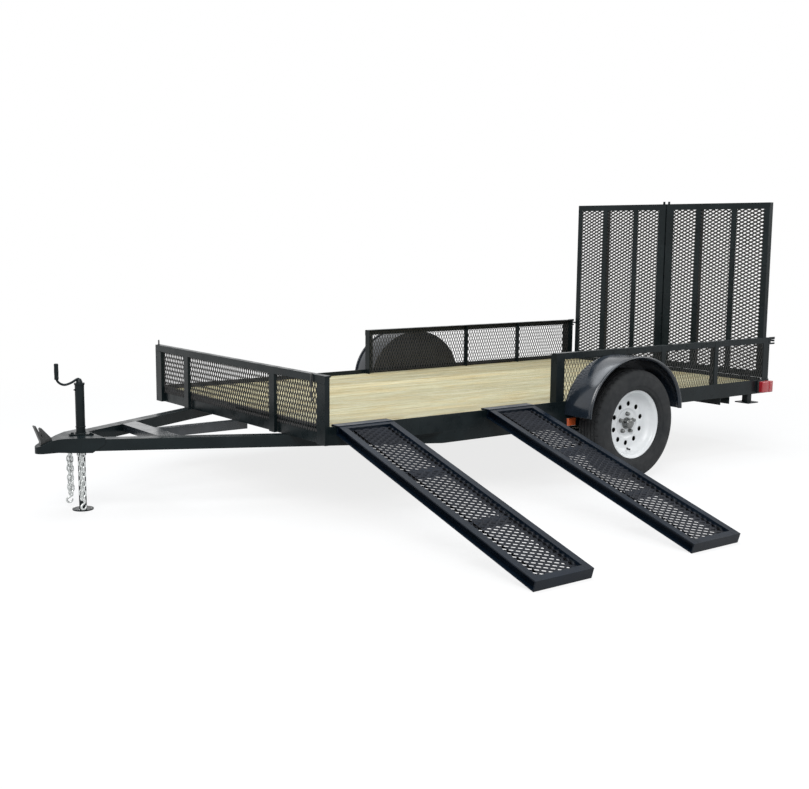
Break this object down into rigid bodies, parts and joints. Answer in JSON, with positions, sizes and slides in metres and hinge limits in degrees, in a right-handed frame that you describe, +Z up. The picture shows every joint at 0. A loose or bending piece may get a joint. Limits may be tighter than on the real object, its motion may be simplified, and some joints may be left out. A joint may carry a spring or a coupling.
{
  "type": "utility trailer",
  "caption": "Single-axle black steel utility trailer with a plank deck, mesh side panels, rear mesh gate doors and two side loading ramps.",
  "frame": {"origin": "centre of the hitch ball in the coupler's socket", "axes": "+X forward along the tongue, +Y to the trailer's left, +Z up"},
  "size_m": [4.85, 3.6579, 1.713],
  "materials": {
    "frame_black": "satin",
    "mesh_black": "satin",
    "deck_wood": "matte",
    "tyre_rubber": "matte",
    "rim_white": "gloss",
    "zinc": "satin",
    "chain_zinc": "satin",
    "amber_lens": "gloss",
    "red_lens": "gloss",
    "lamp_black": "satin"
  },
  "bodies": {
    "chassis": {"axle_beam": "frame_black", "chain_bar": "chain_zinc", "coupler": "frame_black", "coupler_latch": "zinc", "crossmembers": "frame_black", "deck_boards": "deck_wood", "fender_left": "frame_black", "fender_right": "frame_black", "front_panel_frame": "frame_black", "front_panel_mesh": "mesh_black", "front_rail": "frame_black", "jack_body": "frame_black", "jack_crank": "frame_black", "leaf_spring_left": "frame_black", "leaf_spring_right": "frame_black", "marker_lamp_left": "amber_lens", "marker_lamp_right": "amber_lens", "rear_rail": "frame_black", "rear_skid_left": "frame_black", "rear_skid_right": "frame_black", "safety_chains": "chain_zinc", "side_panel_frame_left": "frame_black", "side_panel_frame_right": "frame_black", "side_panel_mesh_left": "mesh_black", "side_panel_mesh_right": "mesh_black", "side_rail_left": "frame_black", "side_rail_right": "frame_black", "spring_hangers_left": "frame_black", "spring_hangers_right": "frame_black", "stowage_bar": "frame_black", "tail_lamp_housing_left": "lamp_black", "tail_lamp_housing_right": "lamp_black", "tail_lamp_lens_left": "red_lens", "tail_lamp_lens_right": "red_lens", "tongue_braces": "frame_black", "tongue_leg_left": "frame_black", "tongue_leg_right": "frame_black"},
    "wheel_left": {"tyre_left": "tyre_rubber", "rim_left": "rim_white", "hub_left": "frame_black", "lug_nuts_left": "zinc"},
    "wheel_right": {"tyre_right": "tyre_rubber", "rim_right": "rim_white", "hub_right": "frame_black", "lug_nuts_right": "zinc"},
    "gate_left": {"gate_frame_left": "frame_black", "gate_mesh_left": "mesh_black"},
    "gate_right": {"gate_frame_right": "frame_black", "gate_mesh_right": "mesh_black"},
    "ramp_front": {"ramp_frame_front": "frame_black", "ramp_mesh_front": "mesh_black"},
    "ramp_rear": {"ramp_frame_rear": "frame_black", "ramp_mesh_rear": "mesh_black"},
    "jack_leg": {"jack_leg": "frame_black"}
  },
  "joints": [
    {"name": "wheel_left_spin", "type": "hinge", "parent": "chassis", "child": "wheel_left", "pos_m": [-3.177, 1.082, -0.015], "axis": [0, 1, 0], "continuous": true},
    {"name": "wheel_right_spin", "type": "hinge", "parent": "chassis", "child": "wheel_right", "pos_m": [-3.177, -1.082, -0.015], "axis": [0, 1, 0], "continuous": true},
    {"name": "gate_left_hinge", "type": "hinge", "parent": "chassis", "child": "gate_left", "pos_m": [-4.762, 0.456, 0.127], "axis": [0, -1, 0], "range_deg": [0, 111]},
    {"name": "gate_right_hinge", "type": "hinge", "parent": "chassis", "child": "gate_right", "pos_m": [-4.762, -0.456, 0.127], "axis": [0, -1, 0], "range_deg": [0, 111]},
    {"name": "ramp_front_hinge", "type": "hinge", "parent": "chassis", "child": "ramp_front", "pos_m": [-1.3065, 0.942, 0.1403], "axis": [1, 0, 0], "range_deg": [0, 100]},
    {"name": "ramp_rear_hinge", "type": "hinge", "parent": "chassis", "child": "ramp_rear", "pos_m": [-2.3115, 0.942, 0.1403], "axis": [1, 0, 0], "range_deg": [0, 100]},
    {"name": "jack_slide", "type": "slide", "parent": "chassis", "child": "jack_leg", "axis": [0, 0, 1], "range_m": [0, 0.25]}
  ]
}
